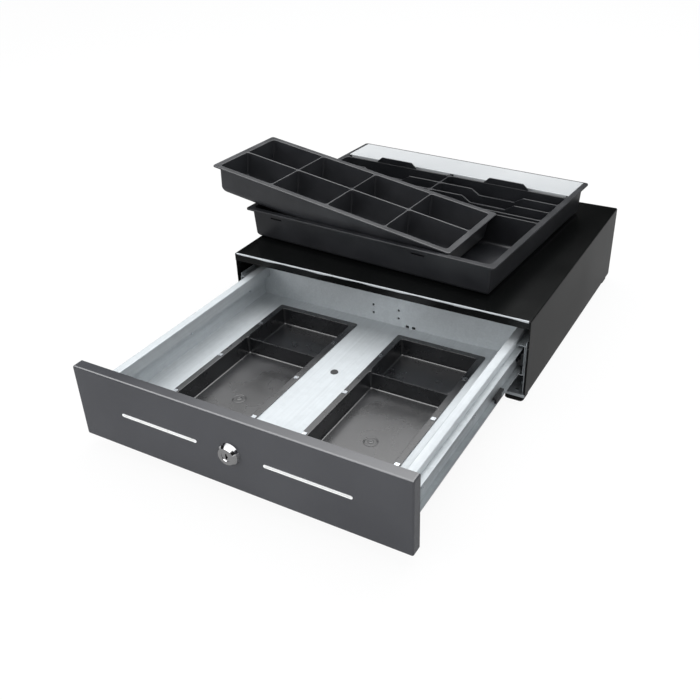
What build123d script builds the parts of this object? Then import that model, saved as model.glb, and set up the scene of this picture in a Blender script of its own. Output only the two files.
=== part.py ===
from build123d import *

import os
from math import asin, atan, degrees, hypot

# Cash drawer with a sheet-steel cabinet, a drawer on two ball-bearing slides, two storage bins
# let into the drawer's floor, a note-and-coin till and its lift-out coin tray.
# Frame, in mm: X to the right, Y from the front to the back, Z up. The origin is the middle of
# the four counter-fixing holes, on the underside of the base. The drawer stands open, and the
# till lies on the cabinet with the coin tray leaning on it.

os.makedirs("parts", exist_ok=True)


def save(part, name):
    """Label a finished piece and write it as one STEP file."""
    part.label = name
    export_step(part, "parts/" + name + ".step")


# ---------------------------------------------------------------- driving dimensions
# cabinet
CABINET_W = 460.0            # outside width of the cover
CABINET_D = 403.0            # front of the lip to the back of the rear panel
COVER_TOP = 117.0            # top of the cover above the base's underside
COVER_T = 1.2                # cover sheet
COVER_R = 2.5                # outer bend radius of the cover
LIP_H = 12.0                 # front lip, from the top of the cover down
LIP_RETURN = 10.0            # lip's hidden stiffening fold
REAR_FLANGE = 12.0           # cover's inward flanges that take the rear panel's screws
BASE_T = 1.2                 # base sheet
BASE_LIP_H = 4.0             # hem along the front of the base
BASE_REAR_H = 15.0           # upstand along the back of the base
PANEL_T = 1.2                # rear panel sheet
PANEL_SCREW_R = 1.9
FIT = 0.3                    # gap between sheets that slip past each other
HEAD_R = 3.6                 # screw heads
HEAD_H = 1.0

# feet and counter-fixing holes
FOOT_SIDE = 26.0
FOOT_H = 8.0
FOOT_SIDE_EDGE = 15.5        # foot centres, in from the sides
FOOT_EDGE = 14.0             # foot centres, in from the front and back edges
FOOT_SCREW_R = 2.0
FOOT_HEAD_Z = -5.0           # seat of the screw heads, inside the feet
FIXING_X = 300.0             # spacing of the counter-fixing holes
FIXING_Y = 260.0
FIXING_R = 2.75

# slides: 45.6 mm high, 12.7 mm between the drawer and the support
SLIDE_H = 45.6
SLIDE_W = 12.7
SLIDE_T = 1.2
SLIDE_Z = 56.0               # middle height of the slides
OUTER_SET = 2.0              # fixed channel, behind the front of the cabinet
OUTER_BACK_GAP = 11.5        # and short of its back
INNER_SET = 4.0              # drawer member, behind the front of the drawer
INNER_PAST = 28.0            # and past its back
INNER_DEPTH = 8.7            # drawer member, measured out from the drawer's wall
OUTER_FLANGE = 10.6          # fixed channel's flanges, measured in from the support
RACE_LIP = 2.2               # turned edge that keeps the balls in
BALL_R = 1.8
BALL_COUNT = 6               # in each row
RACE_PLAY = 0.25
CAGE_L = 50.0
CAGE_T = 0.8
SUPPORT_T = 1.2
SUPPORT_RISE = 3.2           # side supports, above the slides
SUPPORT_GAP = 2.9            # side supports to the cover
SUPPORT_FOOT = 14.0

# drawer
TRAVEL = 317.0               # from open to closed
CLOSED_GAP = 0.5             # fascia to cabinet when closed
BACK_ROOM = 42.5             # behind the closed drawer, for the latch
DRAWER_T = 1.0
FLOOR_Z = 34.0               # upper face of the drawer's floor
RAIL_Z = 83.0                # upper face of the drawer's side rails
RAIL_W = 12.0                # flat top of a side rail
RAIL_RETURN = 17.0           # rail's downturned inner edge
BEND_R = 1.5                 # outer bend radius of the drawer sheet

# fascia
FASCIA_Z = 8.0               # lower edge above the base's underside
FASCIA_TOP_GAP = 7.0         # upper edge below the top of the cover
FASCIA_D = 15.0
FASCIA_T = 1.5
FASCIA_R = 2.5
FASCIA_RETURN = 33.0         # width of the return flanges at each end
MEDIA_X = 103.0              # centres of the media slots, either side of the middle
MEDIA_Z = 60.5
MEDIA_L = 113.0
MEDIA_H = 4.0

# lock
LOCK_Z = 60.0
LOCK_BEZEL_R = 14.5
LOCK_PROUD = 7.0
LOCK_BARREL_R = 9.5
LOCK_CORE_R = 6.5
CORE_CLEARANCE = 0.05
CAM_LENGTH = 36.0
CAM_W = 12.0
CAM_T = 2.0

# storage bins
BIN_MIDDLE_GAP = 66.0        # between the two flanges
BIN_SIDE_GAP = 45.0          # flange to the drawer's side wall
BIN_FRONT_GAP = 18.0         # flange to the drawer's front wall
BIN_FLANGE = 9.0
BIN_FLANGE_T = 1.5
BIN_DEPTH = 26.0             # below the drawer's floor
BIN_WALL = 2.0
BIN_DIVIDER = 2.0
BIN_DRAFT = 3.0              # degrees
BIN_BACK_GAP = 23.0          # bin flange to the drawer's back wall
BIN_REAR_CELL = 90.0         # length of the rear compartment
BIN_CORNER_R = 4.0           # inside the compartments
BIN_EDGE_R = 0.5             # moulded edges of the flange and divider
CLIP_PITCH = 97.5
CLIP_SIDE = 6.0

# till, lying on the cover
TILL_W = 411.0
TILL_D = 340.0
TILL_H = 48.0
TILL_RIM = 6.5               # width of the rim flange
TILL_RIM_T = 2.5
TILL_EDGE_R = 0.7            # moulded edges of the rim and the walls
TILL_WALL = 2.5
TILL_DRAFT = 4.0             # degrees
TILL_BOTTOM_R = 8.0
TILL_CORNER_R = 5.0          # upright corners of the body, the rim and the pockets
WELL_D = 150.0               # front well that takes the coin tray
NOTE_ROWS = 3
NOTE_PITCH = 32.0
NOTE_WALL = 2.2
NOTE_GAP = 8.0               # between the double walls behind the well
DIP_W = 58.0
DIP_H = 9.0
PLATE_D = 60.0
PLATE_T = 1.0
STOP_W = 57.0                # top of the finger stops on the last note wall
STOP_SLOPE = 9.0             # width of each sloping shoulder
STOP_RISE = 9.0
STOP_R = 3.0
TILL_TURN = -3.8             # degrees about Z
TILL_CENTRE = (-27.0, 9.0)

# coin tray, leaning on the till
TRAY_SHORTER = 6.0           # than the till
TRAY_OVERHANG = 2.0          # rim wider than the till's well, which it hangs in
TRAY_H = 46.0
TRAY_RIM = 7.0
TRAY_RIM_T = 2.0
TRAY_WALL = 2.0
TRAY_DRAFT = 4.0             # degrees
TRAY_BOTTOM_R = 12.0
TRAY_CORNER_R = 4.5          # upright corners of the body, the rim and the cups
TRAY_EDGE_R = 0.9            # moulded edges of the rim and the cups
TRAY_COLUMNS = 4
TRAY_ROWS = 2
CUP_WALL = 2.2               # between neighbouring cups, at the top
TRAY_TURN = -2.8             # degrees about Z
TRAY_IN = 75.5               # its right end, in from the till's right edge
TRAY_LEAN_IN = 7.0           # where it rests on the left rim, in from the till's left edge

# latch and ejector at the back
LATCH_X = 41.0
LATCH_LIFT = 16.0            # degrees between caught and released
PIVOT_R = 2.0
PIN_CLEARANCE = 0.05
STRIKER_PIN_R = 2.5
PLUNGER_R = 4.0
SOLENOID_LOW = 70.0
SOLENOID_TOP = 99.0
EJECTOR_X = -60.0
EJECTOR_Z = 50.0
EJECTOR_ROD_R = 5.0
EJECTOR_TRAVEL = 12.0
EJECTOR_GAP = 0.3

# places that follow from them
FRONT = -CABINET_D / 2
BACK = CABINET_D / 2
COVER_IN = CABINET_W / 2 - COVER_T
DRAWER_W = 2 * (COVER_IN - SUPPORT_GAP - SUPPORT_T - SLIDE_W)
DRAWER_L = CABINET_D + CLOSED_GAP - BACK_ROOM
PAN_FRONT = FRONT - CLOSED_GAP - TRAVEL
PAN_BACK = PAN_FRONT + DRAWER_L
CLOSED_BACK = PAN_BACK + TRAVEL
DRAWER_X = DRAWER_W / 2
SUPPORT_X = DRAWER_X + SLIDE_W
FASCIA_FRONT = PAN_FRONT - FASCIA_D
FASCIA_H = COVER_TOP - FASCIA_TOP_GAP - FASCIA_Z
PANEL_FACE = BACK - PANEL_T
OUTER_L = CABINET_D - OUTER_SET - OUTER_BACK_GAP
INNER_L = DRAWER_L + INNER_PAST - INNER_SET
INNER_H = SLIDE_H - 2 * (SLIDE_T + 2 * BALL_R + 2 * RACE_PLAY)
SUPPORT_H = SLIDE_Z + SLIDE_H / 2 + SUPPORT_RISE
BIN_W = (DRAWER_W - 2 * DRAWER_T - BIN_MIDDLE_GAP) / 2 - BIN_SIDE_GAP
BIN_X = (BIN_MIDDLE_GAP + BIN_W) / 2
BIN_L = DRAWER_L - 2 * DRAWER_T - BIN_FRONT_GAP - BIN_BACK_GAP
TRAY_W = TILL_W - TRAY_SHORTER
TRAY_D = WELL_D + TRAY_OVERHANG
FOOT_X = CABINET_W / 2 - FOOT_SIDE_EDGE
SIDES = (-1, 1)
foot_places = [(side * FOOT_X, y) for side in SIDES for y in (FRONT + FOOT_EDGE, BACK - FOOT_EDGE)]
panel_screws_side = [(side * (COVER_IN - REAR_FLANGE / 2), SLIDE_Z) for side in SIDES]
panel_screws_top = [(side * FIXING_X / 3, COVER_TOP - COVER_T - REAR_FLANGE / 2) for side in SIDES]
panel_screws_base = [(side * FIXING_X / 2, BASE_REAR_H / 2 + BASE_T) for side in SIDES]
panel_holes = panel_screws_side + panel_screws_top + panel_screws_base


def block(x, y, z, mode=Mode.ADD):
    """A box given by its (low, high) limits along each axis."""
    with Locations(((x[0] + x[1]) / 2, (y[0] + y[1]) / 2, (z[0] + z[1]) / 2)):
        Box(x[1] - x[0], y[1] - y[0], z[1] - z[0], mode=mode)


def mirrored(side, low, high):
    """The limits of something that lies between low and high on the right-hand side."""
    return (low, high) if side > 0 else (-high, -low)


def bar(axis, places, radius, span, mode=Mode.ADD):
    """Round bars or holes along X, Y or Z over a span, at places given in the other two axes."""
    start = {
        "x": Plane.YZ.offset(span[0]),
        "y": Plane.XZ.offset(-span[1]),
        "z": Plane.XY.offset(span[0]),
    }
    with BuildSketch(start[axis]) as ends:
        with Locations(*places):
            Circle(radius)
    extrude(ends.sketch, amount=span[1] - span[0], mode=mode)


def slots(places, length, height, span, mode=Mode.ADD):
    """Round-ended bars or openings through sheets that face the front, over a span of Y."""
    with BuildSketch(Plane.XZ.offset(-span[1])) as ends:
        with Locations(*places):
            SlotOverall(length, height)
    extrude(ends.sketch, amount=span[1] - span[0], mode=mode)


def folded(points, radius, thickness, span):
    """Sheet folded along a line in the XZ plane, material on the line's right, over a span of Y."""
    with BuildSketch(Plane.XZ.offset(-span[1])) as profile:
        with BuildLine():
            FilletPolyline(*points, radius=radius)
            offset(amount=thickness, side=Side.RIGHT)
        make_face()
    extrude(profile.sketch, amount=span[1] - span[0])


# ---------------------------------------------------------------- cover
# One folded sheet: top, two sides, a front lip with a return, and inward flanges at the back.
with BuildPart() as cover:
    half = CABINET_W / 2
    side_bottom = BASE_T + FIT
    lip_low = COVER_TOP - LIP_H
    block((-half, half), (FRONT, FRONT + 2 * COVER_T), (lip_low, COVER_TOP))
    fillet(cover.edges().filter_by(Axis.Y).group_by(Axis.Z)[-1], COVER_R)
    lip_edges = cover.faces().sort_by(Axis.Y)[0].edges().sort_by(Axis.Z)
    fillet(lip_edges[1:], 1.0)
    folded(
        [(-half, side_bottom), (-half, COVER_TOP), (half, COVER_TOP), (half, side_bottom)],
        COVER_R,
        COVER_T,
        (FRONT + COVER_T, BACK),
    )
    block((-COVER_IN, COVER_IN), (FRONT + COVER_T, FRONT + LIP_RETURN), (lip_low, lip_low + COVER_T))
    flange_y = (PANEL_FACE - COVER_T, PANEL_FACE)
    for side in SIDES:
        block(
            mirrored(side, COVER_IN - REAR_FLANGE, COVER_IN),
            flange_y,
            (BASE_REAR_H + FIT, COVER_TOP - COVER_T),
        )
    block(
        (-COVER_IN, COVER_IN),
        flange_y,
        (COVER_TOP - COVER_T - REAR_FLANGE, COVER_TOP - COVER_T),
    )
    bar("y", panel_screws_side + panel_screws_top, PANEL_SCREW_R + 0.1, (BACK - 6, BACK), Mode.SUBTRACT)
save(cover.part, "cabinet_cover")

# ---------------------------------------------------------------- rear panel
SOCKET_X = -150.0
SOCKET_Z = 40.0
SOCKET_SIDE = 13.0
with BuildPart() as rear_panel:
    panel_x = COVER_IN - FIT
    block((-panel_x, panel_x), (PANEL_FACE, BACK), (0, COVER_TOP - COVER_T - FIT))
    fillet(rear_panel.edges().filter_by(Axis.Y).group_by(Axis.Z)[-1], COVER_R)
    bar("y", panel_holes, PANEL_SCREW_R + 0.1, (BACK - 6, BACK + 1), Mode.SUBTRACT)
    socket_half = SOCKET_SIDE / 2 + 0.1
    block(
        (SOCKET_X - socket_half, SOCKET_X + socket_half),
        (PANEL_FACE - 1, BACK + 1),
        (SOCKET_Z - socket_half, SOCKET_Z + socket_half),
        mode=Mode.SUBTRACT,
    )
save(rear_panel.part, "rear_panel")

with BuildPart() as panel_screws:
    bar("y", panel_holes, PANEL_SCREW_R, (PANEL_FACE - 6, BACK))
    bar("y", panel_holes, HEAD_R, (BACK, BACK + 1.8))
    fillet(panel_screws.edges().filter_by(GeomType.CIRCLE).group_by(Axis.Y)[-1], 1.0)
    for x, z in panel_holes:
        for turn in (0, 90):
            with Locations(Location((x, BACK + 1.8, z), (0, turn, 0))):
                Box(HEAD_R + 0.4, 1.6, 0.8, mode=Mode.SUBTRACT)
save(panel_screws.part, "panel_screws")

# Square jack for the lead that opens the drawer, with its cable cavity.
with BuildPart() as socket:
    half = SOCKET_SIDE / 2
    block((SOCKET_X - half, SOCKET_X + half), (BACK - 16, BACK + 0.8), (SOCKET_Z - half, SOCKET_Z + half))
    block(
        (SOCKET_X - half - 1.5, SOCKET_X + half + 1.5),
        (PANEL_FACE - 2.5, PANEL_FACE),
        (SOCKET_Z - half - 1.5, SOCKET_Z + half + 1.5),
    )
    block(
        (SOCKET_X - 4.9, SOCKET_X + 4.9),
        (BACK - 11, BACK + 2),
        (SOCKET_Z - 3.4, SOCKET_Z + 3.4),
        Mode.SUBTRACT,
    )
    block((SOCKET_X - 3.1, SOCKET_X + 3.1), (BACK - 11, BACK + 2), (SOCKET_Z - 4.9, SOCKET_Z), Mode.SUBTRACT)
save(socket.part, "interface_socket")

# ---------------------------------------------------------------- feet
with BuildPart() as feet:
    with BuildSketch(Plane.XY):
        with Locations(*foot_places):
            RectangleRounded(FOOT_SIDE, FOOT_SIDE, 5)
    extrude(amount=-FOOT_H)
    chamfer(feet.faces().sort_by(Axis.Z)[:4].edges(), 1.2)
    bar("z", foot_places, FOOT_SCREW_R + 0.05, (-FOOT_H, 1), Mode.SUBTRACT)
    bar("z", foot_places, HEAD_R + 1, (-FOOT_H, FOOT_HEAD_Z), Mode.SUBTRACT)
save(feet.part, "rubber_feet")

with BuildPart() as foot_screws:
    bar("z", foot_places, FOOT_SCREW_R, (FOOT_HEAD_Z, BASE_T + 0.8))
    bar("z", foot_places, HEAD_R, (FOOT_HEAD_Z - 1.8, FOOT_HEAD_Z))
save(foot_screws.part, "foot_screws")


# ---------------------------------------------------------------- side supports and slides
def slide_x(side, low, high):
    """Limits of a slide piece, measured in from the side support towards the drawer."""
    return mirrored(side, SUPPORT_X - high, SUPPORT_X - low)


OUTER_Y = (FRONT + OUTER_SET, FRONT + OUTER_SET + OUTER_L)
INNER_Y = (PAN_FRONT + INNER_SET, PAN_FRONT + INNER_SET + INNER_L)
SLIDE_SCREW_Y = (OUTER_Y[0] + 9, OUTER_Y[0] + 150, OUTER_Y[1] - 40)
SLIDE_SCREW_Z = SLIDE_Z + 13
SLIDE_SCREW_R = 2.0
RACE_Z = (SLIDE_H / 2 - SLIDE_T + INNER_H / 2) / 2
CAGE_FRONT = OUTER_Y[0] + 15
DRAWER_SCREW_Y = (PAN_FRONT + 40, PAN_FRONT + 180, PAN_FRONT + 320)
BALL_U = 6.5                 # ball centres, in from the support
slide_screws_at = [(y, SLIDE_SCREW_Z) for y in SLIDE_SCREW_Y]
drawer_screws_at = [(y, SLIDE_Z) for y in DRAWER_SCREW_Y]
ball_y = [CAGE_FRONT + 5 + i * (CAGE_L - 10) / (BALL_COUNT - 1) for i in range(BALL_COUNT)]

for side, hand in zip(SIDES, ("left", "right")):
    # L-shaped support spot-welded to the base
    with BuildPart() as support:
        block(
            mirrored(side, SUPPORT_X, SUPPORT_X + SUPPORT_T),
            (FRONT + 5, PANEL_FACE - COVER_T - 2),
            (BASE_T, SUPPORT_H),
        )
        block(
            mirrored(side, SUPPORT_X - SUPPORT_FOOT, SUPPORT_X),
            (FRONT + 5 + 2 * FOOT_EDGE, PANEL_FACE - COVER_T - 2 * FOOT_EDGE),
            (BASE_T, BASE_T + SUPPORT_T),
        )
        through = mirrored(side, SUPPORT_X - 4, SUPPORT_X + 4)
        bar("x", slide_screws_at, SLIDE_SCREW_R + 0.1, through, Mode.SUBTRACT)
    save(support.part, "side_support_" + hand)

    # fixed channel with turned race edges
    with BuildPart() as outer:
        top = SLIDE_H / 2
        block(slide_x(side, 0, SLIDE_T), OUTER_Y, (SLIDE_Z - top, SLIDE_Z + top))
        for up in (-1, 1):
            flange = sorted((SLIDE_Z + up * top, SLIDE_Z + up * (top - SLIDE_T)))
            lip = sorted((SLIDE_Z + up * top, SLIDE_Z + up * (top - SLIDE_T - RACE_LIP)))
            block(slide_x(side, 0, OUTER_FLANGE), OUTER_Y, flange)
            block(slide_x(side, OUTER_FLANGE - SLIDE_T, OUTER_FLANGE), OUTER_Y, lip)
        corner = outer.edges().filter_by(Axis.Y).filter_by(
            lambda e: abs(e.center().X - side * SUPPORT_X) < 0.1
        )
        fillet(corner, 1.0)
        through = mirrored(side, SUPPORT_X - 4, SUPPORT_X + 4)
        bar("x", slide_screws_at, SLIDE_SCREW_R + 0.1, through, Mode.SUBTRACT)
    save(outer.part, "slide_outer_" + hand)

    # moving member on the drawer's wall
    with BuildPart() as inner:
        top = INNER_H / 2
        block(slide_x(side, SLIDE_W - SLIDE_T, SLIDE_W), INNER_Y, (SLIDE_Z - top, SLIDE_Z + top))
        for up in (-1, 1):
            flange = sorted((SLIDE_Z + up * top, SLIDE_Z + up * (top - SLIDE_T)))
            block(slide_x(side, SLIDE_W - INNER_DEPTH, SLIDE_W), INNER_Y, flange)
        through = mirrored(side, DRAWER_X - 3, DRAWER_X + 3)
        bar("x", drawer_screws_at, SLIDE_SCREW_R + 0.1, through, Mode.SUBTRACT)
    save(inner.part, "slide_inner_" + hand)

    # ball cage: a thin channel with a hole for each ball
    with BuildPart() as cage:
        cage_y = (CAGE_FRONT, CAGE_FRONT + CAGE_L)
        reach = RACE_Z + CAGE_T / 2
        block(slide_x(side, 2.4, 2.4 + CAGE_T), cage_y, (SLIDE_Z - reach, SLIDE_Z + reach))
        for up in (-1, 1):
            flange = sorted((SLIDE_Z + up * reach, SLIDE_Z + up * (reach - CAGE_T)))
            block(slide_x(side, 2.4, 9.0), cage_y, flange)
        ball_x = side * (SUPPORT_X - BALL_U)
        with Locations(*[(ball_x, y, SLIDE_Z) for y in ball_y]):
            Cylinder(BALL_R + 0.1, SLIDE_H, mode=Mode.SUBTRACT)
    save(cage.part, "ball_cage_" + hand)

    with BuildPart() as balls:
        with Locations(*[(ball_x, y, SLIDE_Z + up * RACE_Z) for y in ball_y for up in (-1, 1)]):
            Sphere(BALL_R)
    save(balls.part, "slide_balls_" + hand)

# stop bumpers in the mouths of the fixed channels
with BuildPart() as bumpers:
    for side in SIDES:
        block(slide_x(side, SLIDE_T, 8.5), (OUTER_Y[0] + 1, OUTER_Y[0] + 9), (SLIDE_Z - 9, SLIDE_Z - 1))
        block(slide_x(side, SLIDE_T, 5.0), (OUTER_Y[0] + 1, OUTER_Y[0] + 5), (SLIDE_Z - 2, SLIDE_Z + 9))
    fillet(bumpers.edges().filter_by(Axis.X), 1.0)
save(bumpers.part, "slide_bumpers")

# quick-release levers on the drawer members
with BuildPart() as levers:
    for side in SIDES:
        lever_y = PAN_FRONT + 242
        low = SLIDE_Z - INNER_H / 2 + SLIDE_T
        block(slide_x(side, 6.5, SLIDE_W - SLIDE_T), (lever_y, lever_y + 26), (low, low + 3.5))
        block(slide_x(side, 4.2, 7.0), (lever_y - 6, lever_y + 12), (low, low + 6))
    fillet(levers.edges().filter_by(Axis.X), 0.9)
save(levers.part, "release_levers")

with BuildPart() as slide_screws:
    for side in SIDES:
        bar("x", slide_screws_at, SLIDE_SCREW_R, slide_x(side, -3.3, SLIDE_T))
        bar("x", slide_screws_at, HEAD_R, slide_x(side, SLIDE_T, SLIDE_T + HEAD_H))
save(slide_screws.part, "slide_screws")

with BuildPart() as drawer_screws:
    for side in SIDES:
        wall = SLIDE_W - SLIDE_T
        bar("x", drawer_screws_at, SLIDE_SCREW_R, slide_x(side, wall, SLIDE_W + 2.5))
        bar("x", drawer_screws_at, HEAD_R, slide_x(side, wall - HEAD_H, wall))
save(drawer_screws.part, "drawer_slide_screws")

# ---------------------------------------------------------------- drawer pan
BIN_MID_Y = PAN_BACK - DRAWER_T - BIN_BACK_GAP - BIN_L / 2
BIN_OPEN_W = BIN_W - 2 * BIN_FLANGE
BIN_OPEN_L = BIN_L - 2 * BIN_FLANGE
BIN_CUT = 2 * (BIN_WALL + FIT)
CLIP_RIVET_R = 1.2
PLUG_R = 4.0
PLUG_GAP = 0.05              # round its shank
PLUG_HEAD_R = 5.2
PLUG_HEAD_H = 1.2
PLUG_HEAD_EDGE_R = 0.6
PLUG_BELOW = 2.0             # shank under the pan
clips_y = [BIN_MID_Y + i * CLIP_PITCH for i in (-1, 0, 1)]
clip_row = [side * (BIN_X + edge * (BIN_W / 2 - BIN_FLANGE / 2 + 0.5)) for side in SIDES for edge in SIDES]
rivets_at = [(x, y) for x in clip_row for y in clips_y]
CAM_Y = PAN_FRONT + 13.0     # front face of the lock's cam
CAM_SWEEP = CAM_LENGTH + 1.0 # the cam swings down through the floor's slot, out to here
PLUG_AT = (0, BIN_MID_Y + 36)
MEDIA_AT = [(side * MEDIA_X, MEDIA_Z) for side in SIDES]
FASCIA_SCREWS = [
    (side * (DRAWER_X - RAIL_W / 2 - DRAWER_T), z) for side in SIDES for z in (SLIDE_Z - 12, SLIDE_Z + 14)
]
with BuildPart() as pan:
    folded(
        [
            (DRAWER_X - RAIL_W, RAIL_Z - RAIL_RETURN),
            (DRAWER_X - RAIL_W, RAIL_Z),
            (DRAWER_X, RAIL_Z),
            (DRAWER_X, FLOOR_Z - DRAWER_T),
            (-DRAWER_X, FLOOR_Z - DRAWER_T),
            (-DRAWER_X, RAIL_Z),
            (RAIL_W - DRAWER_X, RAIL_Z),
            (RAIL_W - DRAWER_X, RAIL_Z - RAIL_RETURN),
        ],
        BEND_R,
        DRAWER_T,
        (PAN_FRONT, PAN_BACK),
    )
    inside = DRAWER_X - DRAWER_T
    for wall in ((PAN_FRONT, PAN_FRONT + DRAWER_T), (PAN_BACK - DRAWER_T, PAN_BACK)):
        block((-inside, inside), wall, (FLOOR_Z - DRAWER_T / 2, RAIL_Z - DRAWER_T / 2))
    # cut-outs for the two bins, and the drain hole between them
    with BuildSketch(Plane.XY.offset(FLOOR_Z)):
        with Locations(*[(side * BIN_X, BIN_MID_Y) for side in SIDES]):
            RectangleRounded(BIN_OPEN_W + BIN_CUT, BIN_OPEN_L + BIN_CUT, BIN_CORNER_R + BIN_WALL)
        with Locations(PLUG_AT):
            Circle(PLUG_R + PLUG_GAP)
        with Locations((CAM_SWEEP / 2 - CAM_W / 2, CAM_Y + CAM_T / 2)):
            Rectangle(CAM_SWEEP + CAM_W / 2, CAM_T + 3)
    extrude(amount=-2 * DRAWER_T, mode=Mode.SUBTRACT)
    bar("z", rivets_at, CLIP_RIVET_R + 0.02, (FLOOR_Z - DRAWER_T - 1, FLOOR_Z + 1), Mode.SUBTRACT)
    # front wall: lock barrel, media slots and fascia screws
    front_wall = (PAN_FRONT - 1, PAN_FRONT + DRAWER_T + 1)
    bar("y", [(0, LOCK_Z)], LOCK_BARREL_R + FIT, front_wall, Mode.SUBTRACT)
    bar("y", FASCIA_SCREWS, 2.1, front_wall, Mode.SUBTRACT)
    slots(MEDIA_AT, MEDIA_L + 6, MEDIA_H + 6, front_wall, Mode.SUBTRACT)
    # back wall: holes for an unused bracket, and the striker's rivet slots
    back_wall = (PAN_BACK - DRAWER_T - 1, PAN_BACK + 1)
    bar("y", [(x, z) for x in (-19, 22) for z in (47, 60)], 1.8, back_wall, Mode.SUBTRACT)
    for side in SIDES:
        slot = (LATCH_X + side * 5 - 2.5, LATCH_X + side * 5 + 2.5)
        block(slot, back_wall, (FLOOR_Z + 0.5, FLOOR_Z + 4.5), Mode.SUBTRACT)
    for side in SIDES:
        through = mirrored(side, DRAWER_X - 3, DRAWER_X + 3)
        bar("x", drawer_screws_at, SLIDE_SCREW_R + 0.1, through, Mode.SUBTRACT)
save(pan.part, "drawer_pan")

# nylon plug in the drain hole between the bins
with BuildPart() as plug:
    bar("z", [PLUG_AT], PLUG_R, (FLOOR_Z - DRAWER_T - PLUG_BELOW, FLOOR_Z))
    bar("z", [PLUG_AT], PLUG_HEAD_R, (FLOOR_Z, FLOOR_Z + PLUG_HEAD_H))
    fillet(plug.edges().group_by(Axis.Z)[-1], PLUG_HEAD_EDGE_R)
save(plug.part, "floor_plug")

# ---------------------------------------------------------------- fascia
with BuildPart() as fascia:
    half = CABINET_W / 2
    block((-half, half), (FASCIA_FRONT, PAN_FRONT), (FASCIA_Z, FASCIA_Z + FASCIA_H))
    front_face = fascia.faces().sort_by(Axis.Y)[0]
    fillet(front_face.edges() + fascia.edges().filter_by(Axis.Y), FASCIA_R)
    offset(amount=-FASCIA_T, openings=fascia.faces().sort_by(Axis.Y)[-1])
    for side in SIDES:
        block(
            mirrored(side, half - FASCIA_T - FASCIA_RETURN, half - FASCIA_T / 2),
            (PAN_FRONT - FASCIA_T, PAN_FRONT),
            (FASCIA_Z + FASCIA_T / 2, FASCIA_Z + FASCIA_H - FASCIA_T / 2),
        )
    skin = (FASCIA_FRONT - 1, FASCIA_FRONT + FASCIA_T + 1)
    bar("y", [(0, LOCK_Z)], LOCK_BARREL_R + FIT, skin, Mode.SUBTRACT)
    slots(MEDIA_AT, MEDIA_L - 2, MEDIA_H - 1, skin, Mode.SUBTRACT)
    bar("y", FASCIA_SCREWS, 2.1, (PAN_FRONT - FASCIA_T - 1, PAN_FRONT + 1), Mode.SUBTRACT)
save(fascia.part, "drawer_fascia")

with BuildPart() as fascia_screws:
    head = PAN_FRONT + DRAWER_T
    bar("y", FASCIA_SCREWS, 2.0, (PAN_FRONT - 6, head))
    bar("y", FASCIA_SCREWS, 3.2, (head, head + 2))
save(fascia_screws.part, "fascia_screws")

# liners that edge the two media slots
with BuildPart() as liners:
    slots(MEDIA_AT, MEDIA_L, MEDIA_H, (FASCIA_FRONT - 0.8, FASCIA_FRONT))
    slots(MEDIA_AT, MEDIA_L - 2.4, MEDIA_H - 1.4, (FASCIA_FRONT, FASCIA_FRONT + FASCIA_T + 1.5))
    slots(MEDIA_AT, MEDIA_L - 5, 1.2, (FASCIA_FRONT - 2, FASCIA_FRONT + 4), Mode.SUBTRACT)
save(liners.part, "media_slot_liners")

# ---------------------------------------------------------------- lock
LOCK_TAIL = CAM_Y - FIT
with BuildPart() as lock_housing:
    bezel_y = FASCIA_FRONT - LOCK_PROUD
    with BuildSketch(Plane.YZ):
        with BuildLine():
            Polyline(
                (FASCIA_FRONT, LOCK_Z),
                (FASCIA_FRONT, LOCK_Z + LOCK_BEZEL_R),
                (bezel_y + 3, LOCK_Z + LOCK_BEZEL_R - 1),
                (bezel_y, LOCK_Z + LOCK_BEZEL_R - 3.5),
                (bezel_y, LOCK_Z),
                close=True,
            )
        make_face()
    revolve(axis=Axis((0, 0, LOCK_Z), (0, 1, 0)))
    bar("y", [(0, LOCK_Z)], LOCK_BARREL_R, (FASCIA_FRONT, LOCK_TAIL))
    bore = LOCK_CORE_R + CORE_CLEARANCE
    bar("y", [(0, LOCK_Z)], bore, (bezel_y - 1, LOCK_TAIL + 1), Mode.SUBTRACT)
save(lock_housing.part, "lock_housing")

with BuildPart() as lock_nut:
    nut_y = FASCIA_FRONT + FASCIA_T
    with BuildSketch(Plane.XZ.offset(-nut_y - 4)):
        with Locations((0, LOCK_Z)):
            RegularPolygon(13.5, 6)
            Circle(LOCK_BARREL_R + 0.02, mode=Mode.SUBTRACT)
    extrude(amount=4)
save(lock_nut.part, "lock_nut")

with BuildPart() as lock_core:
    core_front = bezel_y + 0.8
    bar("y", [(0, LOCK_Z)], LOCK_CORE_R, (core_front, CAM_Y))
    block((-1.1, 1.1), (core_front - 1, core_front + 9), (LOCK_Z - 3.6, LOCK_Z + 3.6), Mode.SUBTRACT)
    block((1.0, 2.4), (core_front - 1, core_front + 9), (LOCK_Z - 0.9, LOCK_Z + 0.9), Mode.SUBTRACT)
    block((-3.2, 3.2), (CAM_Y - 0.01, CAM_Y + CAM_T), (LOCK_Z - 3.2, LOCK_Z + 3.2))
save(lock_core.part, "lock_core")

# The cam lies flat to the right when unlocked, and turns down behind the keeper to lock.
with BuildPart() as lock_cam:
    with BuildSketch(Plane.XZ.offset(-CAM_Y - CAM_T)):
        with Locations((CAM_LENGTH / 2 - CAM_W / 4, LOCK_Z)):
            SlotOverall(CAM_LENGTH + CAM_W / 2, CAM_W)
        with Locations((0, LOCK_Z)):
            Rectangle(6.4, 6.4, mode=Mode.SUBTRACT)
    extrude(amount=CAM_T)
save(lock_cam.part, "lock_cam")

with BuildPart() as cam_screw:
    bar("y", [(0, LOCK_Z)], 5.0, (CAM_Y + CAM_T, CAM_Y + CAM_T + 1.6))
    fillet(cam_screw.edges().group_by(Axis.Y)[-1], 0.6)
save(cam_screw.part, "cam_screw")

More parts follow.
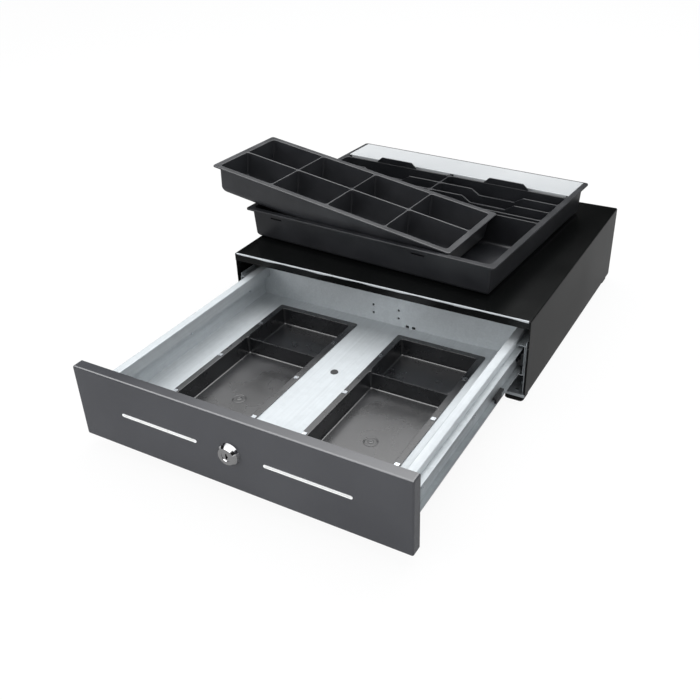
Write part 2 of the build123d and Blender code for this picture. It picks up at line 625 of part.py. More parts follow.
KEEPER_BACK = FRONT - CLOSED_GAP + (CAM_Y - PAN_FRONT) - 2.0
KEEPER_W = 28.0
with BuildPart() as keeper:
    keeper_top = FLOOR_Z - DRAWER_T - 3
    block((-KEEPER_W / 2, KEEPER_W / 2), (KEEPER_BACK - 1.5, KEEPER_BACK), (BASE_T, keeper_top))
    block((-KEEPER_W / 2, KEEPER_W / 2), (KEEPER_BACK, KEEPER_BACK + 16), (BASE_T, BASE_T + 1.5))
    keeper_holes = [(side * 8, KEEPER_BACK + 9) for side in SIDES]
    bar("z", keeper_holes, 1.9, (BASE_T - 1, BASE_T + 3), Mode.SUBTRACT)
save(keeper.part, "lock_keeper")

# ---------------------------------------------------------------- storage bins
# Each bin hangs through the drawer's floor from its flange, and is held by six riveted plates.
BIN_TOP = FLOOR_Z + BIN_FLANGE_T
BIN_BOTTOM = FLOOR_Z - BIN_DEPTH
CLIP_T = 0.8
bin_open_back = BIN_MID_Y + BIN_OPEN_L / 2
bin_divider_y = bin_open_back - BIN_REAR_CELL - BIN_DIVIDER / 2

for side, hand in zip(SIDES, ("left", "right")):
    with BuildPart() as bin_:
        with BuildSketch(Plane.XY.offset(FLOOR_Z)):
            with Locations((side * BIN_X, BIN_MID_Y)):
                RectangleRounded(BIN_W, BIN_L, 3)
        extrude(amount=BIN_FLANGE_T)
        with BuildSketch(Plane.XY.offset(BIN_TOP)):
            with Locations((side * BIN_X, BIN_MID_Y)):
                RectangleRounded(
                    BIN_OPEN_W + 2 * BIN_WALL, BIN_OPEN_L + 2 * BIN_WALL, BIN_CORNER_R + BIN_WALL
                )
        extrude(amount=-(BIN_TOP - BIN_BOTTOM), taper=BIN_DRAFT)
        fillet(bin_.edges().group_by(Axis.Z)[0], 4)
        cells = (
            (BIN_MID_Y - BIN_OPEN_L / 2, bin_divider_y - BIN_DIVIDER / 2),
            (bin_divider_y + BIN_DIVIDER / 2, bin_open_back),
        )
        for low, high in cells:
            with BuildPart(mode=Mode.PRIVATE) as cell:
                with BuildSketch(Plane.XY.offset(BIN_TOP)):
                    with Locations((side * BIN_X, (low + high) / 2)):
                        RectangleRounded(BIN_OPEN_W, high - low, BIN_CORNER_R)
                extrude(amount=-(BIN_TOP - BIN_BOTTOM - BIN_WALL), taper=BIN_DRAFT)
                fillet(cell.edges().group_by(Axis.Z)[0], 2.4)
            add(cell.part, mode=Mode.SUBTRACT)
        fillet(bin_.faces().sort_by(Axis.Z)[-1].edges(), BIN_EDGE_R)
        block(
            mirrored(side, BIN_X - BIN_OPEN_W / 2 + 2, BIN_X + BIN_OPEN_W / 2 - 2),
            (bin_divider_y - BIN_DIVIDER, bin_divider_y + BIN_DIVIDER),
            (BIN_TOP - 3, BIN_TOP + 1),
            Mode.SUBTRACT,
        )
        bar("z", rivets_at, CLIP_RIVET_R + 0.02, (FLOOR_Z - 2, BIN_TOP + 1), Mode.SUBTRACT)
    save(bin_.part, "bin_" + hand)

with BuildPart() as clips:
    bar("z", rivets_at, CLIP_RIVET_R, (FLOOR_Z - DRAWER_T - 0.6, BIN_TOP))
    for side in SIDES:
        for edge in SIDES:
            for y in clips_y:
                middle = side * (BIN_X + edge * (BIN_W / 2 - BIN_FLANGE / 2 + 0.5))
                plate = (middle - CLIP_SIDE / 2, middle + CLIP_SIDE / 2)
                block(plate, (y - CLIP_SIDE / 2, y + CLIP_SIDE / 2), (BIN_TOP, BIN_TOP + CLIP_T))
    fillet(clips.edges().filter_by(Axis.Z).filter_by(GeomType.LINE), 0.8)
save(clips.part, "bin_clips")

# ---------------------------------------------------------------- till
# Built about its own middle with its bottom at zero, then set down on the cover.
RESTING_GAP = 0.2
till_place = Location((*TILL_CENTRE, COVER_TOP + RESTING_GAP), (0, 0, TILL_TURN))
TILL_IN_W = TILL_W - 2 * TILL_RIM - 2 * TILL_WALL
TILL_FRONT_IN = -TILL_D / 2 + TILL_RIM + TILL_WALL
TILL_BACK_IN = -TILL_FRONT_IN
well = (TILL_FRONT_IN, TILL_FRONT_IN + WELL_D)
row_start = well[1] + NOTE_WALL + NOTE_GAP + NOTE_WALL
rows = [
    (row_start + i * NOTE_PITCH, row_start + (i + 1) * NOTE_PITCH - NOTE_WALL) for i in range(NOTE_ROWS)
]
bay = (rows[-1][1] + NOTE_WALL, TILL_BACK_IN)
half_cell = (NOTE_WALL / 2, TILL_IN_W / 2)
column_middles = [side * (half_cell[0] + half_cell[1]) / 2 for side in SIDES]


def pocket(x, y, top, floor, corner, draft, base):
    """A drafted pocket with rounded corners and a rounded bottom, cut out of the part."""
    with BuildPart(mode=Mode.PRIVATE) as hollow:
        with BuildSketch(Plane.XY.offset(top)):
            with Locations(((x[0] + x[1]) / 2, (y[0] + y[1]) / 2)):
                RectangleRounded(x[1] - x[0], y[1] - y[0], corner)
        extrude(amount=floor - top, taper=draft)
        fillet(hollow.edges().group_by(Axis.Z)[0], base)
    add(hollow.part, mode=Mode.SUBTRACT)


with BuildPart() as till:
    body_w = TILL_W - 2 * TILL_RIM
    body_d = TILL_D - 2 * TILL_RIM
    with BuildSketch(Plane.XY.offset(TILL_H)):
        RectangleRounded(body_w, body_d, TILL_CORNER_R)
    extrude(amount=-TILL_H, taper=TILL_DRAFT)
    fillet(till.edges().group_by(Axis.Z)[0], TILL_BOTTOM_R)
    with BuildSketch(Plane.XY.offset(TILL_H)):
        RectangleRounded(TILL_W, TILL_D, TILL_CORNER_R)
    extrude(amount=-TILL_RIM_T)
    # coin well, note compartments in two columns, and the bay under the plate
    pocket((-TILL_IN_W / 2, TILL_IN_W / 2), well, TILL_H, TILL_WALL, TILL_CORNER_R, TILL_DRAFT, 5)
    for side in SIDES:
        across = mirrored(side, *half_cell)
        gap_row = (well[1] + NOTE_WALL, row_start - NOTE_WALL)
        pocket(across, gap_row, TILL_H, TILL_H - 14, 2, 1, 1)
        for row in rows:
            pocket(across, row, TILL_H, TILL_WALL, 5, TILL_DRAFT, 1.5)
        pocket(across, bay, TILL_H, TILL_WALL, TILL_CORNER_R, TILL_DRAFT, 3)
    fillet(till.faces().sort_by(Axis.Z)[-1].edges(), TILL_EDGE_R)
    # finger dips in the walls between the notes
    for mid in column_middles:
        with BuildSketch(Plane.XZ.offset(-rows[-1][0] - NOTE_WALL)):
            with BuildLine():
                Polyline(
                    (mid - DIP_W / 2, TILL_H - DIP_H),
                    (mid + DIP_W / 2, TILL_H - DIP_H),
                    (mid + DIP_W / 2 + 16, TILL_H + 1),
                    (mid - DIP_W / 2 - 16, TILL_H + 1),
                    close=True,
                )
            make_face()
        extrude(amount=rows[-1][0] - rows[0][1] + 2 * NOTE_WALL, mode=Mode.SUBTRACT)
    # finger stops that rise from the last note wall
    stop_inset = 0.2
    with BuildSketch(Plane.XZ.offset(stop_inset - bay[0])):
        for mid in column_middles:
            top, foot = STOP_W / 2, STOP_W / 2 + STOP_SLOPE
            with BuildLine():
                FilletPolyline(
                    (mid - foot, TILL_H - 15),
                    (mid + foot, TILL_H - 15),
                    (mid + foot, TILL_H + 1),
                    (mid + top, TILL_H + STOP_RISE),
                    (mid - top, TILL_H + STOP_RISE),
                    (mid - foot, TILL_H + 1),
                    close=True,
                    radius=STOP_R,
                )
            make_face()
    extrude(amount=NOTE_WALL - 2 * stop_inset)
    # two slots in the front wall
    for x in (-154.0, 89.0):
        block((x - 10, x + 10), (-TILL_D / 2, TILL_FRONT_IN + 5), (TILL_H - 12, TILL_H - 9.6), Mode.SUBTRACT)
save(till_place * till.part, "till_tray")

# plate over the bay, resting on the rim, with its front edge turned down
with BuildPart() as plate:
    plate_x = TILL_IN_W / 2 + 1.5
    back_edge = TILL_D / 2 - 5.5
    front_edge = back_edge - PLATE_D
    block((-plate_x, plate_x), (front_edge, back_edge), (TILL_H, TILL_H + PLATE_T))
    for side in SIDES:
        fold = mirrored(side, half_cell[0] + 2, half_cell[1] - 3)
        block(fold, (front_edge, front_edge + PLATE_T), (TILL_H - 6, TILL_H + PLATE_T / 2))
    fillet(plate.edges().filter_by(Axis.X).group_by(Axis.Y)[0].sort_by(Axis.Z)[-1], PLATE_T * 0.9)
save(till_place * plate.part, "till_plate")

# ---------------------------------------------------------------- coin tray
# Built about the middle of its rim with the rim's top at zero. It leans with its right end in the
# till's well, hung by the rim, and its underside on the till's left rim.
tray_in_w = (TRAY_W - 2 * TRAY_RIM - 2 * TRAY_WALL - (TRAY_COLUMNS - 1) * CUP_WALL) / TRAY_COLUMNS
tray_in_d = (TRAY_D - 2 * TRAY_RIM - 2 * TRAY_WALL - (TRAY_ROWS - 1) * CUP_WALL) / TRAY_ROWS
with BuildPart() as tray:
    with BuildSketch(Plane.XY):
        RectangleRounded(TRAY_W - 2 * TRAY_RIM, TRAY_D - 2 * TRAY_RIM, TRAY_CORNER_R)
    extrude(amount=-TRAY_H, taper=TRAY_DRAFT)
    fillet(tray.edges().group_by(Axis.Z)[0], TRAY_BOTTOM_R)
    with BuildSketch(Plane.XY):
        RectangleRounded(TRAY_W, TRAY_D, TRAY_CORNER_R)
    extrude(amount=-TRAY_RIM_T)
    for column in range(TRAY_COLUMNS):
        for row in range(TRAY_ROWS):
            x0 = (column - TRAY_COLUMNS / 2) * (tray_in_w + CUP_WALL) + CUP_WALL / 2
            y0 = (row - TRAY_ROWS / 2) * (tray_in_d + CUP_WALL) + CUP_WALL / 2
            cup = (x0, x0 + tray_in_w), (y0, y0 + tray_in_d)
            pocket(*cup, 0, TRAY_WALL - TRAY_H, TRAY_CORNER_R, TRAY_DRAFT, 12)
    fillet(tray.faces().sort_by(Axis.Z)[-1].edges(), TRAY_EDGE_R)
rim_rest = COVER_TOP + RESTING_GAP + TILL_H + RESTING_GAP + TRAY_RIM_T
TRAY_RIGHT = TILL_CENTRE[0] + TILL_W / 2 - TRAY_IN
TRAY_LEAN_X = TILL_CENTRE[0] - TILL_W / 2 + TRAY_LEAN_IN
TRAY_MIDDLE_Y = TILL_CENTRE[1] - TILL_D / 2 + WELL_D / 2
lean = TRAY_RIGHT - TRAY_LEAN_X
TRAY_TILT = degrees(asin((TRAY_H + FIT) / hypot(lean, TRAY_RIM_T)) - atan(TRAY_RIM_T / lean))
tray_place = (
    Location((TRAY_RIGHT, TRAY_MIDDLE_Y, rim_rest), (0, 0, TRAY_TURN))
    * Location((0, 0, 0), (0, TRAY_TILT, 0))
    * Location((-TRAY_W / 2, 0, 0))
)
save(tray_place * tray.part, "coin_tray")

# ---------------------------------------------------------------- latch
# A solenoid lifts the hook off the striker's pin; everything is placed by the pivot.
PIVOT = (CLOSED_BACK + 32.0, 52.0)   # Y and Z
PLUNGER_Y = PIVOT[0] - 13.0
STRIKER_AT = (CLOSED_BACK + 10.0, PIVOT[1] - 4.0)
HOOK_T = 3.0
CHEEK_GAP = 7.0
CHEEK_T = 1.5
hook_x = (LATCH_X - HOOK_T / 2, LATCH_X + HOOK_T / 2)

with BuildPart() as striker:
    open_y = PAN_BACK
    back = STRIKER_AT[0] - CLOSED_BACK
    for side in SIDES:
        cheek = sorted((LATCH_X + side * 6.5, LATCH_X + side * 8.0))
        block(cheek, (open_y, open_y + back + 5), (STRIKER_AT[1] - 8, STRIKER_AT[1] + 8))
    block((LATCH_X - 14, LATCH_X + 14), (open_y, open_y + 1.2), (STRIKER_AT[1] - 8, STRIKER_AT[1] + 8))
    bar("x", [(open_y + back, STRIKER_AT[1])], STRIKER_PIN_R + 0.02, (LATCH_X - 9, LATCH_X + 9), Mode.SUBTRACT)
save(striker.part, "striker_bracket")

with BuildPart() as striker_pin:
    bar("x", [(open_y + back, STRIKER_AT[1])], STRIKER_PIN_R, (LATCH_X - 8, LATCH_X + 8))
save(striker_pin.part, "striker_pin")

# The hook is drawn caught, then turned up to where it stands now.
with BuildPart() as hook:
    with BuildSketch(Plane.YZ.offset(hook_x[0])):
        with BuildLine():
            Polyline(
                (0, 5),
                (-10, 9.5),
                (-18, 9.5),
                (-28.6, 3),
                (-28.6, -1.5),
                (-26.2, -6.5),
                (-25.1, -6.5),
                (-25.1, -0.8),
                (-13, -0.8),
                (-9, -4.5),
                (0, -5),
                close=True,
            )
        make_face()
        Circle(5)
        Circle(PIVOT_R + PIN_CLEARANCE, mode=Mode.SUBTRACT)
        with Locations((-13.6, 4.5)):
            SlotOverall(7, 3.8, mode=Mode.SUBTRACT)
    extrude(amount=HOOK_T)
hook_place = Location((0, *PIVOT)) * Location((0, 0, 0), (-LATCH_LIFT, 0, 0))
save(hook_place * hook.part, "latch_hook")

with BuildPart() as latch_bracket:
    plate_y = (PIVOT[0] + 6, PIVOT[0] + 6 + CHEEK_T)
    block((LATCH_X - 14, LATCH_X + 14), plate_y, (BASE_T, SOLENOID_TOP))
    block((LATCH_X - 14, LATCH_X + 14), (PIVOT[0] - 11, plate_y[0]), (BASE_T, BASE_T + CHEEK_T))
    for side in SIDES:
        cheek = sorted((LATCH_X + side * CHEEK_GAP / 2, LATCH_X + side * (CHEEK_GAP / 2 + CHEEK_T)))
        block(cheek, (PIVOT[0] - 6, plate_y[0]), (PIVOT[1] - 8, PIVOT[1] + 8))
    bar("x", [PIVOT], PIVOT_R + 0.02, (LATCH_X - 8, LATCH_X + 8), Mode.SUBTRACT)
    bracket_holes = [(LATCH_X + side * 9, PIVOT[0] - 5) for side in SIDES]
    bar("z", bracket_holes, 1.9, (BASE_T - 1, BASE_T + 3), Mode.SUBTRACT)
save(latch_bracket.part, "latch_bracket")

with BuildPart() as hook_pin:
    pin_end = CHEEK_GAP / 2 + CHEEK_T
    bar("x", [PIVOT], PIVOT_R, (LATCH_X - pin_end - 1, LATCH_X + pin_end + 1))
    for side in SIDES:
        head = sorted((LATCH_X + side * pin_end, LATCH_X + side * (pin_end + 1)))
        bar("x", [PIVOT], PIVOT_R + 1, head)
save(hook_pin.part, "hook_pin")

with BuildPart() as solenoid_frame:
    frame_y = (PLUNGER_Y - 9.5, plate_y[0])
    frame_x = (LATCH_X - 11, LATCH_X + 11)
    block(frame_x, (frame_y[1] - 1.5, frame_y[1]), (SOLENOID_LOW, SOLENOID_TOP))
    block(frame_x, frame_y, (SOLENOID_LOW, SOLENOID_LOW + 1.5))
    block(frame_x, frame_y, (SOLENOID_TOP - 1.5, SOLENOID_TOP))
    bore_r = PLUNGER_R + FIT
    bar("z", [(LATCH_X, PLUNGER_Y)], bore_r, (SOLENOID_LOW - 1, SOLENOID_LOW + 2), Mode.SUBTRACT)
save(solenoid_frame.part, "solenoid_frame")

with BuildPart() as coil:
    span = (SOLENOID_LOW + 1.5, SOLENOID_TOP - 1.5)
    bar("z", [(LATCH_X, PLUNGER_Y)], 9.5, (span[0], span[0] + 1.2))
    bar("z", [(LATCH_X, PLUNGER_Y)], 8.5, span)
    bar("z", [(LATCH_X, PLUNGER_Y)], 9.5, (span[1] - 1.2, span[1]))
    bar("z", [(LATCH_X, PLUNGER_Y)], bore_r, (span[0] - 1, span[1] - 3), Mode.SUBTRACT)
save(coil.part, "solenoid_coil")

# plunger, forked round the hook, with the cross pin that works in the hook's slot
PLUNGER_PIN_Z = PIVOT[1] + 8.4
with BuildPart() as plunger:
    bar("z", [(LATCH_X, PLUNGER_Y)], PLUNGER_R, (PLUNGER_PIN_Z - 3.5, PLUNGER_PIN_Z + 24))
    fork = (LATCH_X - HOOK_T / 2 - 0.4, LATCH_X + HOOK_T / 2 + 0.4)
    block(fork, (PLUNGER_Y - 6, PLUNGER_Y + 6), (PLUNGER_PIN_Z - 4, PLUNGER_PIN_Z + 7.5), Mode.SUBTRACT)
    bar("x", [(PLUNGER_Y, PLUNGER_PIN_Z)], 1.52, (LATCH_X - 6, LATCH_X + 6), Mode.SUBTRACT)
save(plunger.part, "solenoid_plunger")

with BuildPart() as plunger_pin:
    bar("x", [(PLUNGER_Y, PLUNGER_PIN_Z)], 1.5, (LATCH_X - 4.5, LATCH_X + 4.5))
save(plunger_pin.part, "plunger_pin")

# ---------------------------------------------------------------- ejector
EJECTOR_BACK = BACK - 4
EJECTOR_FRONT = CLOSED_BACK + EJECTOR_GAP + 2 + EJECTOR_TRAVEL + 0.7
ejector_at = [(EJECTOR_X, EJECTOR_Z)]
with BuildPart() as ejector_housing:
    bar("y", ejector_at, 8.5, (EJECTOR_FRONT, EJECTOR_BACK))
    block((EJECTOR_X - 3, EJECTOR_X + 3), (EJECTOR_FRONT + 2, EJECTOR_BACK), (BASE_T + 1, EJECTOR_Z))
    block((EJECTOR_X - 12, EJECTOR_X + 12), (EJECTOR_FRONT + 2, EJECTOR_BACK), (BASE_T, BASE_T + 2.5))
    bar("y", ejector_at, EJECTOR_ROD_R + FIT, (EJECTOR_FRONT - 1, EJECTOR_BACK - 1.5), Mode.SUBTRACT)
    ejector_holes = [(EJECTOR_X + side * 8, EJECTOR_BACK - 8) for side in SIDES]
    bar("z", ejector_holes, 1.9, (BASE_T - 1, BASE_T + 4), Mode.SUBTRACT)
save(ejector_housing.part, "ejector_housing")

with BuildPart() as pusher:
    tip = CLOSED_BACK + EJECTOR_GAP
    bar("y", ejector_at, 7.5, (tip, tip + 2))
    bar("y", ejector_at, EJECTOR_ROD_R, (tip + 2, EJECTOR_BACK - 2 - EJECTOR_TRAVEL))
    fillet(pusher.edges().group_by(Axis.Y)[0], 0.8)
save(pusher.part, "ejector_pusher")

# ---------------------------------------------------------------- closed-drawer sensor
SENSOR_X = 150.0
with BuildPart() as sensor:
    block((SENSOR_X - 9, SENSOR_X + 9), (CLOSED_BACK + 22, CLOSED_BACK + 23.5), (BASE_T, EJECTOR_Z + 8))
    block((SENSOR_X - 9, SENSOR_X + 9), (CLOSED_BACK + 22, CLOSED_BACK + 36), (BASE_T, BASE_T + 1.5))
    block((SENSOR_X - 7, SENSOR_X + 7), (CLOSED_BACK + 7, CLOSED_BACK + 22), (EJECTOR_Z - 6, EJECTOR_Z + 6))
    sensor_holes = [(SENSOR_X + side * 5, CLOSED_BACK + 30) for side in SIDES]
    bar("z", sensor_holes, 1.9, (BASE_T - 1, BASE_T + 3), Mode.SUBTRACT)
save(sensor.part, "closed_sensor")

with BuildPart() as magnet:
    block((SENSOR_X - 5, SENSOR_X + 5), (PAN_BACK, PAN_BACK + 4), (EJECTOR_Z - 4, EJECTOR_Z + 4))
    fillet(magnet.edges().filter_by(Axis.Y), 1)
save(magnet.part, "sensor_magnet")

# ---------------------------------------------------------------- base
with BuildPart() as base:
    base_x = CABINET_W / 2 - 0.5
    block((-base_x, base_x), (FRONT, PANEL_FACE), (0, BASE_T))
    block((-base_x, base_x), (FRONT, FRONT + BASE_T), (0, BASE_LIP_H))
    fillet(base.edges().filter_by(Axis.X).group_by(Axis.Y)[0], 0.5)
    rear_x = COVER_IN - REAR_FLANGE - 1
    block((-rear_x, rear_x), (PANEL_FACE - BASE_T, PANEL_FACE), (0, BASE_REAR_H))
    bar("y", panel_screws_base, PANEL_SCREW_R + 0.1, (BACK - 6, BACK), Mode.SUBTRACT)
    with GridLocations(FIXING_X, FIXING_Y, 2, 2):
        Cylinder(FIXING_R, 4 * BASE_T, mode=Mode.SUBTRACT)
    bar("z", foot_places, FOOT_SCREW_R + 0.1, (-1, BASE_T + 1), Mode.SUBTRACT)
    for places in (keeper_holes, bracket_holes, ejector_holes, sensor_holes):
        bar("z", places, 1.9, (-1, BASE_T + 1), Mode.SUBTRACT)
save(base.part, "cabinet_base")

# screws that hold the keeper, latch bracket, ejector and sensor on the base
with BuildPart() as base_screws:
    feet_of = (
        (keeper_holes, 1.5),
        (bracket_holes, CHEEK_T),
        (ejector_holes, 2.5),
        (sensor_holes, 1.5),
    )
    for places, thickness in feet_of:
        bar("z", places, 1.85, (BASE_T - 0.6, BASE_T + thickness))
        bar("z", places, HEAD_R, (BASE_T + thickness, BASE_T + thickness + 1.6))
save(base_screws.part, "base_screws")
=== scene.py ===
import math

import bpy
import numpy as np
from mathutils import Matrix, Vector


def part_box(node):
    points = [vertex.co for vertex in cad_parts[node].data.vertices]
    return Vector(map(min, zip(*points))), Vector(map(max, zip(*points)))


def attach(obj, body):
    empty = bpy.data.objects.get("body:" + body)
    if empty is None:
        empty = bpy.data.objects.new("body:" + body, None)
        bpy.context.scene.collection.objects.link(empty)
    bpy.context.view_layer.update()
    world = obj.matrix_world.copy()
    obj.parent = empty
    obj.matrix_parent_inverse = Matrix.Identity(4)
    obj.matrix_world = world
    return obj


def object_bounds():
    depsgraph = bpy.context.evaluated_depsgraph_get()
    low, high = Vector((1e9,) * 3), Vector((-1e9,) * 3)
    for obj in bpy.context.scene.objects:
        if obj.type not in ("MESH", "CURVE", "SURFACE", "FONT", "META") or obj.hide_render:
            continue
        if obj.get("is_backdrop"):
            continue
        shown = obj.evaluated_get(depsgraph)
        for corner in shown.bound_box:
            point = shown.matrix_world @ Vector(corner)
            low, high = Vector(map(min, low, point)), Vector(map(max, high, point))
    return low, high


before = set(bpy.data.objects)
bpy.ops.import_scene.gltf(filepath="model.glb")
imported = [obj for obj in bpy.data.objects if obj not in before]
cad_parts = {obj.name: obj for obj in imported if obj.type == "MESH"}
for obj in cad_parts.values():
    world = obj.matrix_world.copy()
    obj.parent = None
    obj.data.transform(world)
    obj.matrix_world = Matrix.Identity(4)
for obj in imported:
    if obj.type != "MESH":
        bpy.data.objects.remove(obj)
cad_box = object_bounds()


# Base, side supports and brackets: sheet steel, hot-dip galvanised before it is cut and folded.
# The zinc freezes in faint crystals with long rolling streaks. Its oxide skin makes it shine softly.
def linear(code):
    """An sRGB hex colour as linear red, green, blue and alpha."""
    rgb = np.array([int(code[i : i + 2], 16) for i in (1, 3, 5)]) / 255
    rgb = np.where(rgb <= 0.04045, rgb / 12.92, ((rgb + 0.055) / 1.055) ** 2.4)
    return (*rgb.tolist(), 1.0)


def add(tree, kind, settings, links):
    """Add a node, set its attributes, input values or ramp stops, and link its inputs."""
    made = tree.nodes.new(kind)
    for key, value in settings.items():
        if key == "stops":
            keys = made.color_ramp.elements
            for i, (place, code) in enumerate(value):
                stop = keys[i] if i < 2 else keys.new(place)
                stop.position = place
                stop.color = linear(code)
        elif isinstance(key, str) and hasattr(made, key):
            setattr(made, key, value)
        else:
            made.inputs[key].default_value = value
    for key, source in links.items():
        tree.links.new(source, made.inputs[key])
    return made.outputs


def start(name):
    """A new material with an empty tree, and its Object coordinates."""
    made = bpy.data.materials.new(name)
    made.use_nodes = True
    made.node_tree.nodes.clear()
    return made, made.node_tree, add(made.node_tree, "ShaderNodeTexCoord", {}, {})["Object"]


def coat(tree, settings, links):
    """Close a material with its shader and output."""
    shader = add(tree, "ShaderNodeBsdfPrincipled", settings, links)
    add(tree, "ShaderNodeOutputMaterial", {}, {"Surface": shader["BSDF"]})


def dress(nodes, material):
    """Put a material in every slot of the CAD nodes named."""
    for name in nodes:
        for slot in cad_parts[name].material_slots:
            slot.material = material


def sheet_zinc(name, dark, light, along, rough, metal):
    """Galvanised sheet whose rolling streaks run along X (0) or Y (1)."""
    made, tree, place = start(name)
    # crystals are about 8 mm across, and streaks about 3 mm apart and 150 mm long
    spangle = add(tree, "ShaderNodeTexVoronoi", {"Scale": 125.0}, {"Vector": place})
    stretch = [330.0, 330.0, 330.0]
    stretch[along] = 7.0
    drawn_out = add(tree, "ShaderNodeMapping", {"Scale": stretch}, {"Vector": place})["Vector"]
    streak = add(tree, "ShaderNodeTexNoise", {"Scale": 1.0, "Detail": 3.0}, {"Vector": drawn_out})
    cloud = add(tree, "ShaderNodeTexNoise", {"Scale": 8.0, "Detail": 3.0}, {"Vector": place})
    marks = add(
        tree,
        "ShaderNodeMath",
        {"operation": "MULTIPLY_ADD", 1: 0.3},
        {0: spangle["Color"], 2: streak["Fac"]},
    )
    tone = add(tree, "ShaderNodeMath", {"operation": "ADD"}, {0: marks[0], 1: cloud["Fac"]})
    level = add(tree, "ShaderNodeMapRange", {"From Min": 0.7, "From Max": 1.6}, {"Value": tone[0]})
    colour = add(
        tree, "ShaderNodeValToRGB", {"stops": [(0.0, dark), (1.0, light)]}, {"Fac": level["Result"]}
    )
    dull = add(
        tree,
        "ShaderNodeMapRange",
        {"From Min": 0.7, "From Max": 1.6, "To Min": rough + 0.04, "To Max": rough - 0.04},
        {"Value": tone[0]},
    )
    bump = add(tree, "ShaderNodeBump", {"Strength": 0.04, "Distance": 0.0002}, {"Height": streak["Fac"]})
    coat(
        tree,
        {"Metallic": metal},
        {"Base Color": colour["Color"], "Roughness": dull["Result"], "Normal": bump["Normal"]},
    )
    return made


dress(
    [
        "cabinet_base",
        "side_support_left",
        "side_support_right",
        "rear_panel",
        "lock_keeper",
        "latch_bracket",
        "striker_bracket",
    ],
    sheet_zinc("galvanised_steel_base", "#a4a9ac", "#c0c5c8", 0, 0.5, 0.5),
)


# Cover: one folded sheet of mild steel with a black powder coat, baked on.
# The coat flows to a low sheen with a fine orange peel.
def powder_coat(name, dark, light, rough, gloss, peel_pitch):
    """Baked powder coat; peel_pitch is the orange peel's spacing in metres."""
    made, tree, place = start(name)
    peel = add(tree, "ShaderNodeTexNoise", {"Scale": 1 / peel_pitch, "Detail": 2.0}, {"Vector": place})
    cloud = add(tree, "ShaderNodeTexNoise", {"Scale": 7.0, "Detail": 3.0}, {"Vector": place})
    # flecks are about 0.4 mm across and clouds about 140 mm
    fleck = add(tree, "ShaderNodeTexNoise", {"Scale": 2600.0, "Detail": 1.0}, {"Vector": place})
    tone = add(
        tree,
        "ShaderNodeMath",
        {"operation": "MULTIPLY_ADD", 1: 0.6},
        {0: fleck["Fac"], 2: cloud["Fac"]},
    )
    level = add(tree, "ShaderNodeMapRange", {"From Min": 0.55, "From Max": 1.05}, {"Value": tone[0]})
    colour = add(tree, "ShaderNodeValToRGB", {"stops": [(0.0, dark), (1.0, light)]}, {"Fac": level["Result"]})
    dull = add(
        tree,
        "ShaderNodeMapRange",
        {"From Min": 0.3, "From Max": 0.7, "To Min": rough - 0.03, "To Max": rough + 0.05},
        {"Value": cloud["Fac"]},
    )
    bump = add(tree, "ShaderNodeBump", {"Strength": 0.12, "Distance": 0.0001}, {"Height": peel["Fac"]})
    coat(
        tree,
        {"IOR": 1.5, "Specular IOR Level": gloss},
        {"Base Color": colour["Color"], "Roughness": dull["Result"], "Normal": bump["Normal"]},
    )
    return made


dress(["cabinet_cover"], powder_coat("black_powder_coat", "#060707", "#0d0e0e", 0.2, 0.25, 0.0009))


# Lip highlight: a pale painted highlight along the cover's front fold, standing in for the light the fold
# catches.
# It is a skin on the fold, a few hundredths of a millimetre proud, whose width wanders along it.
def make_piece(name, points, faces, smooth, body, slot, material):
    """A mesh from a grid of points and its faces, which rides on a body and takes the material given; slot is
    not used.
    """
    mesh = bpy.data.meshes.new(name)
    mesh.from_pydata(points.reshape(-1, 3).tolist(), [], faces)
    mesh.materials.append(material)
    mesh.polygons.foreach_set("use_smooth", np.full(len(mesh.polygons), smooth))
    piece = bpy.data.objects.new(name, mesh)
    bpy.context.scene.collection.objects.link(piece)
    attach(piece, body)


def grid_faces(rows, columns, ring):
    """Four-sided faces of a grid whose last row meets its first, and on a ring its last column too."""
    i, j = np.meshgrid(np.arange(rows), np.arange(columns if ring else columns - 1), indexing="ij")
    below, right = (i + 1) % rows, (j + 1) % columns
    corners = [i * columns + j, below * columns + j, below * columns + right, i * columns + right]
    return np.stack(corners, axis=-1).reshape(-1, 4).tolist()


def fold_skin(left, right, front, top, radius, proud, lap):
    """A closed thin strip over a fold along X. Its outer rows are a lap of the top, a quarter circle and
    a lap of the front, each proud of the sheet, and the laps swell and shrink with two slow waves. Its
    inner rows are the outer ones drawn a twentieth of the way towards a line 1 mm below their mean."""
    x = np.linspace(left, right, 240)
    wave = 1 + 0.45 * np.sin(x * 61.0) + 0.3 * np.sin(x * 143.0 + 1.0)
    angle = np.radians(np.linspace(0.0, 90.0, 8))[:, None] + 0.0 * x
    y = front + radius - (radius + proud) * np.sin(angle)
    z = top - radius + (radius + proud) * np.cos(angle)
    y = np.concatenate([y[:1] + 0.4 * lap * wave, y, y[-1:]])
    z = np.concatenate([z[:1], z, z[-1:] - lap * wave])
    outer = np.stack([x + 0.0 * y, y, z], axis=-1)
    middle = outer.mean(axis=0, keepdims=True) + (0.0, 0.0, -0.001)
    inner = outer + (middle - outer) * 0.05
    loop = np.concatenate([outer, inner[::-1]])
    rows, columns = loop.shape[:2]
    starts = np.arange(rows) * columns
    ends = [starts[::-1].tolist(), (starts + columns - 1).tolist()]
    return loop, grid_faces(rows, columns, False) + ends


LIP_INSET = 0.003
LIP_FOLD_R = 0.001
LIP_PROUD = 0.00006
LIP_LAP = 0.0009
# the pale coat on the fold is a painted highlight
lip_highlight_coat = powder_coat("painted_highlight_coat", "#a4a8ab", "#bfc3c6", 0.3, 0.6, 0.0009)
low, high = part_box("cabinet_cover")
lip = fold_skin(low.x + LIP_INSET, high.x - LIP_INSET, low.y, high.z, LIP_FOLD_R, LIP_PROUD, LIP_LAP)
make_piece("cover_lip_painted_highlight", *lip, False, "cabinet", "cover_paint", lip_highlight_coat)


